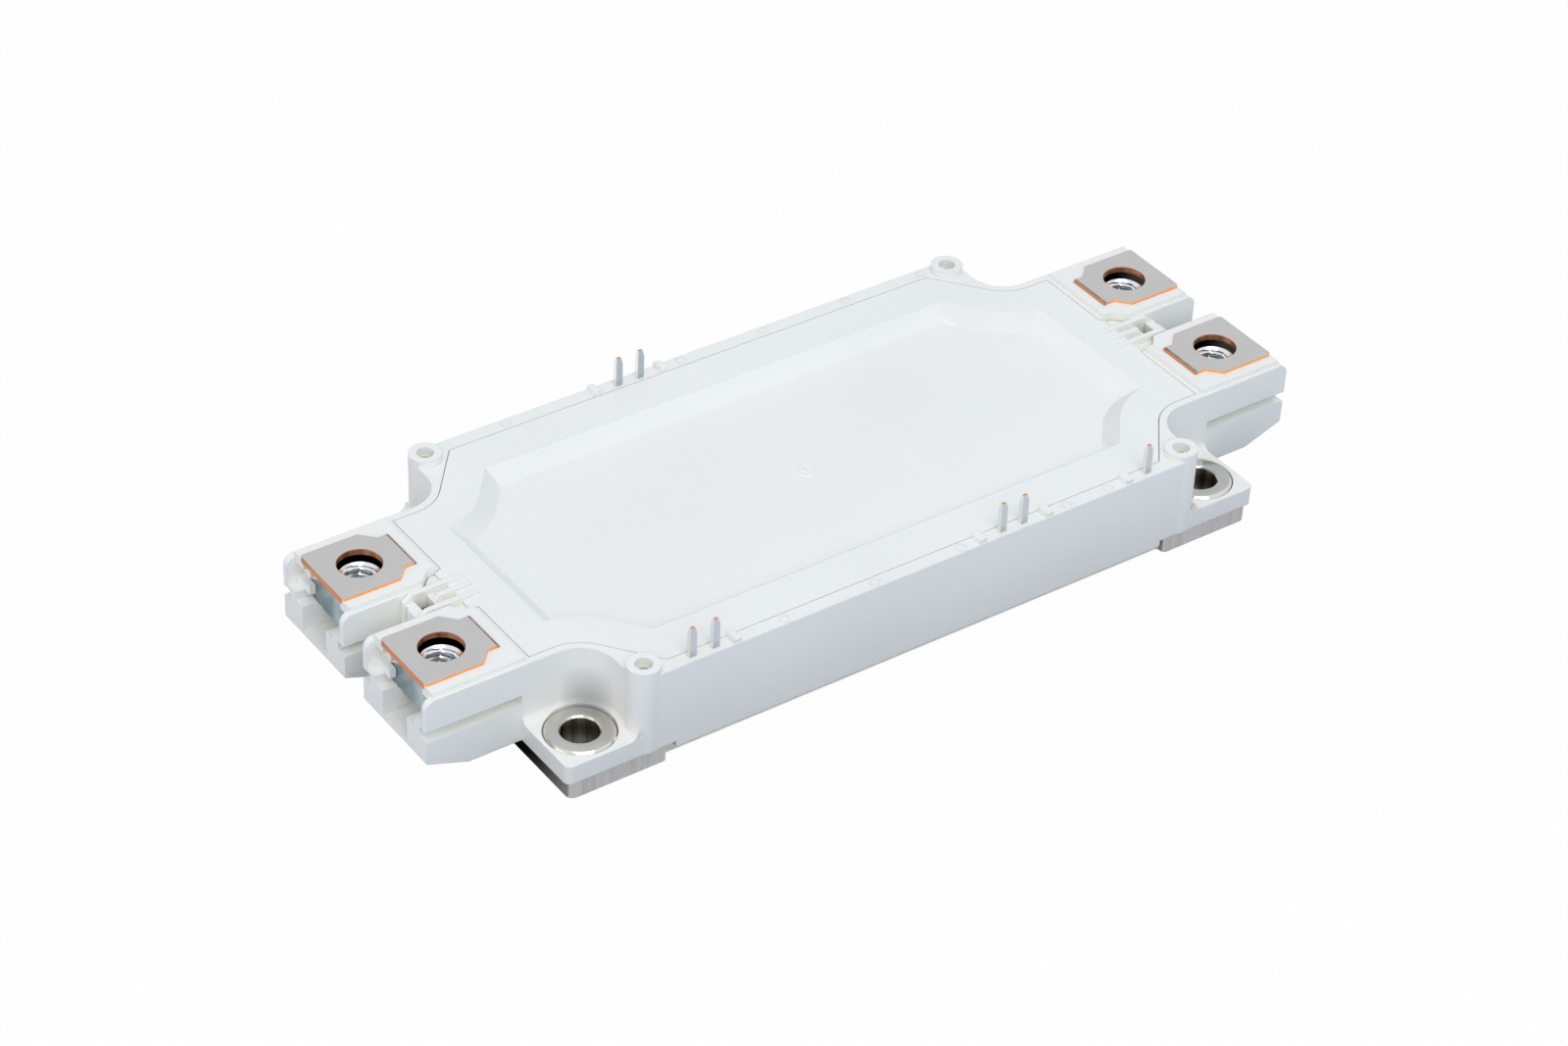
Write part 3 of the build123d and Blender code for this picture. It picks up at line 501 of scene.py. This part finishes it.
WHITE = plastic("white_moulding", MOULDING)
NICKEL = terminal_metal("plated_strip")
PIN = pin_metal("tinned_pin")
SLEEVE = sleeve_metal("turned_sleeve")
ZINC = nut_metal("zinc_nut")
BASE = sheared("sheared_plate", BASE_METAL)
COPPER = plain("rolled_copper", (0.72, 0.36, 0.2), 0.45, 1.0)
CERAMIC = plain("alumina", (0.86, 0.86, 0.83), 0.6)
SILICON = plain("metallised_chip", (0.2, 0.21, 0.24), 0.35, 0.6)
RIBBON = plain("aluminium_ribbon", (0.78, 0.78, 0.78), 0.35, 1.0)
SENSOR = plain("glazed_sensor", (0.06, 0.06, 0.06), 0.3)
GEL = gel_material("clear_gel")

# The start of each node's name, and its material
LOOKS = (
    ("base_plate", BASE), ("captive_nut", ZINC), ("ceramic", CERAMIC), ("chip_ribbons", RIBBON),
    ("control_ribbons", RIBBON), ("power_ribbons", RIBBON), ("control_pin", PIN),
    ("copper", COPPER), ("diode", SILICON), ("switch", SILICON), ("gel", GEL),
    ("housing", WHITE), ("lid", WHITE), ("mounting_bushing", SLEEVE),
    ("screw_terminal", NICKEL), ("thermistor", SENSOR),
)
for node_name, node in NODES.items():
    look = next(m for start, m in LOOKS if node_name.startswith(start))
    node.data.materials.clear()
    node.data.materials.append(look)


# Pieces
def mesh_object(name, verts, faces, material, crease_degrees):
    """A smooth shaded piece on the part's one body, creased where its faces turn sharply."""
    mesh = bpy.data.meshes.new(name)
    mesh.from_pydata(verts, [], faces)
    mesh.validate()
    mesh.materials.append(material)
    obj = bpy.data.objects.new(name, mesh)
    bpy.context.scene.collection.objects.link(obj)
    for poly in mesh.polygons:
        poly.use_smooth = True
    mesh.set_sharp_from_angle(angle=math.radians(crease_degrees))
    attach(obj, "root")
    return obj


def middle(node_name):
    """Place of a node's upright axis."""
    low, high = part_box(node_name)
    return (low.x + high.x) / 2, (low.y + high.y) / 2


NUT_HALF = 5.0 * MM
MINOR_R = 2.5 * MM
MAJOR_R = 3.0 * MM
MOUTH_R = 3.1 * MM
PITCH = 1.0 * MM
TURN_STEPS = 64
PITCH_STEPS = 8
TOP_CHAMFER = math.tan(math.radians(42.0))
BOTTOM_CHAMFER = math.tan(math.radians(30.0))
NUT_CREASE = 28.0


def nut_section(turn, z0, z1):
    """Radii and heights of the nut's closed section at this share of a turn."""
    steps = int(round((z1 - z0) / PITCH * PITCH_STEPS))
    section = []
    for k in range(steps + 1):
        z = z0 + (z1 - z0) * k / steps
        phase = ((z - z0) / PITCH - turn) % 1.0
        ridge = 1.0 - abs(2.0 * phase - 1.0)
        groove = max(ridge * 2.0 - 1.0, 0.0)
        thread = MINOR_R + (MAJOR_R - MINOR_R) * groove
        mouth = MOUTH_R - min(z - z0, z1 - z)
        section.append((max(thread, mouth), z))
    angle = 2 * math.pi * turn
    reach = NUT_HALF / max(abs(math.cos(angle)), abs(math.sin(angle)))
    corner = reach - NUT_HALF
    section.append((NUT_HALF, z1))
    section.append((reach, z1 - corner * TOP_CHAMFER))
    section.append((reach, z0 + corner * BOTTOM_CHAMFER))
    section.append((NUT_HALF, z0))
    return section


def threaded_nut(node_name):
    """The square nut with its real thread, in the place of its CAD node."""
    low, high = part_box(node_name)
    cx, cy = middle(node_name)
    verts, faces = [], []
    for i in range(TURN_STEPS):
        a = 2 * math.pi * i / TURN_STEPS
        section = nut_section(i / TURN_STEPS, low.z, high.z)
        verts += [(cx + r * math.cos(a), cy + r * math.sin(a), z) for r, z in section]
    count = len(section)
    for i in range(TURN_STEPS):
        here, there = i * count, (i + 1) % TURN_STEPS * count
        for k in range(count):
            m = (k + 1) % count
            faces.append((here + k, here + m, there + m, there + k))
    nut = mesh_object("threaded_" + node_name, verts, faces, ZINC, NUT_CREASE)
    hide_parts(node_name)


def revolved(name, spots, profile, steps=40, material=WHITE, crease=60.0):
    """Rings turned round upright axes; profile holds (radius, height) pairs above each spot."""
    verts, faces = [], []
    count = len(profile)
    for x, y, z in spots:
        first = len(verts)
        for i in range(steps):
            a = 2 * math.pi * i / steps
            verts += [(x + r * math.cos(a), y + r * math.sin(a), z + h) for r, h in profile]
        for i in range(steps):
            here, there = first + i * count, first + (i + 1) % steps * count
            for k in range(count - 1):
                faces.append((here + k, there + k, there + k + 1, here + k + 1))
    marks = mesh_object(name, verts, faces, material, crease)
    return marks


def in_metres(profile):
    """A profile given in millimetres."""
    return [(r * MM, h * MM) for r, h in profile]


# Radii and heights in millimetres
SLEEVE_PROFILE = (
    (2.75, 0.0), (3.5, 0.0), (3.5, 5.05), (5.15, 5.05), (5.15, 5.86), (5.13, 5.91), (4.82, 6.22),
    (4.77, 6.25), (3.07, 6.25), (3.02, 6.24), (2.77, 5.99), (2.75, 5.95), (2.75, 0.0),
)
EJECTOR_PROFILE = ((0.84, -0.02), (0.78, 0.02), (0.72, 0.02), (0.66, -0.02))
GATE_PROFILE = (
    (1.60, -0.02), (1.42, 0.20), (1.25, 0.20), (1.05, 0.01), (0.70, 0.01), (0.55, 0.16),
    (0.30, 0.18), (0.22, 0.08), (0.001, 0.08),
)
SLEEVE_STEPS = 96
SLEEVE_CREASE = 30.0

for node_name in list(NODES):
    if node_name.startswith("captive_nut"):
        threaded_nut(node_name)
for node_name in list(NODES):
    if node_name.startswith("mounting_bushing"):
        sleeve = revolved(
            "turned_" + node_name, [(*middle(node_name), 0.0)], in_metres(SLEEVE_PROFILE),
            SLEEVE_STEPS, SLEEVE, SLEEVE_CREASE,
        )
        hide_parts(node_name)

# Places of the ejector marks in millimetres, on the rims, the platforms and the ears
RIM_Y = 29.95
NEAR_RIM_X = (-24.7, -9.2, 5.9, 25.0, 32.6)
FAR_RIM_X = (-32.8, -1.8, 13.4, 28.7, 43.0)
PLATFORM_X = 68.2
PLATFORM_Y = (-17.7, -4.3, 4.15, 17.7)
EAR_SPOTS = ((59.8, 20.5), (51.4, 29.6))
GATE_SPOT = (-0.2, -0.5)

spots = [(x * MM, RIM_Y * MM, RIM_TOP) for x in FAR_RIM_X]
spots += [(x * MM, -RIM_Y * MM, RIM_TOP) for x in NEAR_RIM_X]
for side_x in (-1, 1):
    spots += [(side_x * PLATFORM_X * MM, y * MM, PLATFORM_TOP) for y in PLATFORM_Y]
    for side_y in (-1, 1):
        spots += [(side_x * x * MM, side_y * y * MM, EAR_TOP) for x, y in EAR_SPOTS]
revolved("ejector_marks", spots, in_metres(EJECTOR_PROFILE))
gate = (GATE_SPOT[X] * MM, GATE_SPOT[Y] * MM, RECESS_FLOOR)
revolved("gate_mark", [gate], in_metres(GATE_PROFILE))

# Stage, light, camera
FLOOR_HALF = 3.0
FLOOR_LEVEL = -0.02 * MM
FLOOR_FADE = 50.0 * MM
FLOOR_WHITE_SHARE = 0.985
PLATE_HALF = (60.0 * MM, 30.0 * MM)
BORE_FLOOR_SHADE_LEVEL = 0.25


def floor_material():
    """Painted shadow: dark beside the part and paler farther off where it lights the part, and
    otherwise white.

    The camera and mirrors see plain white with the part's faint shadow; mirrors see painted shade
    below the bores and a painted shadow under the blocks.
    The floor under the plate stays dark, and from below it is clear, so that the underside can be
    looked at.
    """
    s = Shader("floor", (0.3, 0.3, 0.3), roughness=0.9)
    # Painted shadow: the floor's colour dark near the part, fading to pale farther off
    near = s.mix(s.ramp(s.noise(30.0), 0.3, 0.7), *FLOOR_SHADOW_NEAR)
    off_x = s.math("SUBTRACT", s.off(X), PLATE_HALF[X])
    off_y = s.math("SUBTRACT", s.off(Y), PLATE_HALF[Y])
    away = s.ramp(s.math("MAXIMUM", off_x, off_y), 0.0, FLOOR_FADE)
    s.drive("Base Color", s.mix(away, near, FLOOR_FAR))

    glow = s.node("ShaderNodeEmission")
    s.set(glow, "Color", PAPER_WHITE)
    s.set(glow, "Strength", 1.0)
    path = s.node("ShaderNodeLightPath")
    by_camera = path.outputs["Is Camera Ray"]
    past_end = s.ramp(s.off(X), 59.0 * MM, 60.2 * MM)
    past_side = s.ramp(s.off(Y), 28.5 * MM, 29.5 * MM)
    outside = s.math("MAXIMUM", past_end, past_side, clamp=True)
    # Painted shade for mirrors: a dimmer floor below the bores and a dark painted shadow under the
    # blocks
    beside_bores = s.ramp(s.from_axes(SCREW_AXES), 3.0 * MM, 3.2 * MM, BORE_FLOOR_SHADE_LEVEL, 1.0)
    shadow_below_blocks = s.product(
        s.ramp(s.off(X), 59.2 * MM, 59.6 * MM),
        s.ramp(s.off(X), 79.0 * MM, 74.0 * MM),
        s.ramp(s.off(Y), 30.0 * MM, 19.0 * MM),
    )
    by_gel = path.outputs["Is Transmission Ray"]
    by_mirror = s.math("MAXIMUM", path.outputs["Is Glossy Ray"], by_gel)
    by_mirror = s.product(by_mirror, s.math("SUBTRACT", beside_bores, shadow_below_blocks))
    seen = s.math("MAXIMUM", s.product(by_camera, outside), by_mirror)
    share = s.math("MULTIPLY", seen, FLOOR_WHITE_SHARE)
    upper = s.mix_shaders(share, s.bsdf.outputs[0], glow.outputs[0])

    clear = s.node("ShaderNodeBsdfTransparent")
    from_below = s.product(s.geom.outputs["Backfacing"], by_camera)
    s.join(s.mix_shaders(from_below, upper, clear.outputs[0]), s.out, "Surface")
    return s.mat


corners = ((-1, -1), (1, -1), (1, 1), (-1, 1))
floor_mesh = bpy.data.meshes.new("floor")
floor_verts = [(x * FLOOR_HALF, y * FLOOR_HALF, FLOOR_LEVEL) for x, y in corners]
floor_mesh.from_pydata(floor_verts, [], [(0, 1, 2, 3)])
floor_mesh.materials.append(floor_material())
floor = bpy.data.objects.new("floor", floor_mesh)
bpy.context.scene.collection.objects.link(floor)


def studio_world():
    """Pale dome, bluer at the horizon; plain white to the camera and in mirrors and gel."""
    world = bpy.data.worlds.new("studio")
    bpy.context.scene.world = world
    world.use_nodes = True
    t = Tree(world.node_tree)
    coord = t.node("ShaderNodeTexCoord")
    axes = t.node("ShaderNodeSeparateXYZ")
    t.link(coord, "Generated", axes, "Vector")
    dome = t.node("ShaderNodeBackground")
    t.set(dome, "Strength", 1.0)
    t.join(t.mix(axes.outputs[Z], HORIZON, ZENITH), dome, "Color")
    white = t.node("ShaderNodeBackground")
    t.set(white, "Color", PAPER_WHITE)
    t.set(white, "Strength", 1.0)
    path = t.node("ShaderNodeLightPath")
    seen = t.math("MAXIMUM", path.outputs["Is Camera Ray"], path.outputs["Is Transmission Ray"])
    seen = t.math("MAXIMUM", seen, path.outputs["Is Glossy Ray"])
    out = t.node("ShaderNodeOutputWorld")
    t.join(t.mix_shaders(seen, dome.outputs[0], white.outputs[0]), out, "Surface")


def softbox(name, place, size, power, colour=(1, 1, 1)):
    """Area lamp that faces the part."""
    data = bpy.data.lights.new(name, "AREA")
    data.shape = "RECTANGLE"
    data.size, data.size_y = size
    data.energy = power
    data.color = colour
    lamp = bpy.data.objects.new(name, data)
    lamp.location = place
    lamp.rotation_euler = (-Vector(place)).to_track_quat("-Z", "Y").to_euler()
    bpy.context.scene.collection.objects.link(lamp)


studio_world()
softbox("key_box", (-0.22, -0.59, 0.62), (0.7, 0.7), 2.25)
softbox("warm_box", (-0.85, -0.04, 0.24), (0.5, 0.4), 0.85, (1.0, 0.82, 0.74))

# Camera fitted to the photo: place in metres, directions of the picture's sides and of the view
CAMERA_PLACE = Vector((-0.28625942, -0.38039940, 0.35995336))
CAMERA_RIGHT = Vector((0.8186327, -0.57303056, 0.03842511))
CAMERA_DOWN = Vector((-0.31873511, -0.50896375, -0.79960229))
CAMERA_FORWARD = Vector((0.47775354, 0.64233315, -0.59929933))
CAMERA_LENS = 92.37

camera_data = bpy.data.cameras.new("camera")
camera_data.sensor_width = 36.0
camera_data.lens = CAMERA_LENS
camera_data.clip_start = 0.01
camera_data.clip_end = 20.0
camera = bpy.data.objects.new("camera", camera_data)
bpy.context.scene.collection.objects.link(camera)
pose = Matrix((CAMERA_RIGHT, -CAMERA_DOWN, -CAMERA_FORWARD)).transposed().to_4x4()
pose.translation = CAMERA_PLACE
camera.matrix_world = pose
bpy.context.scene.camera = camera
bpy.context.scene.view_settings.view_transform = "Standard"
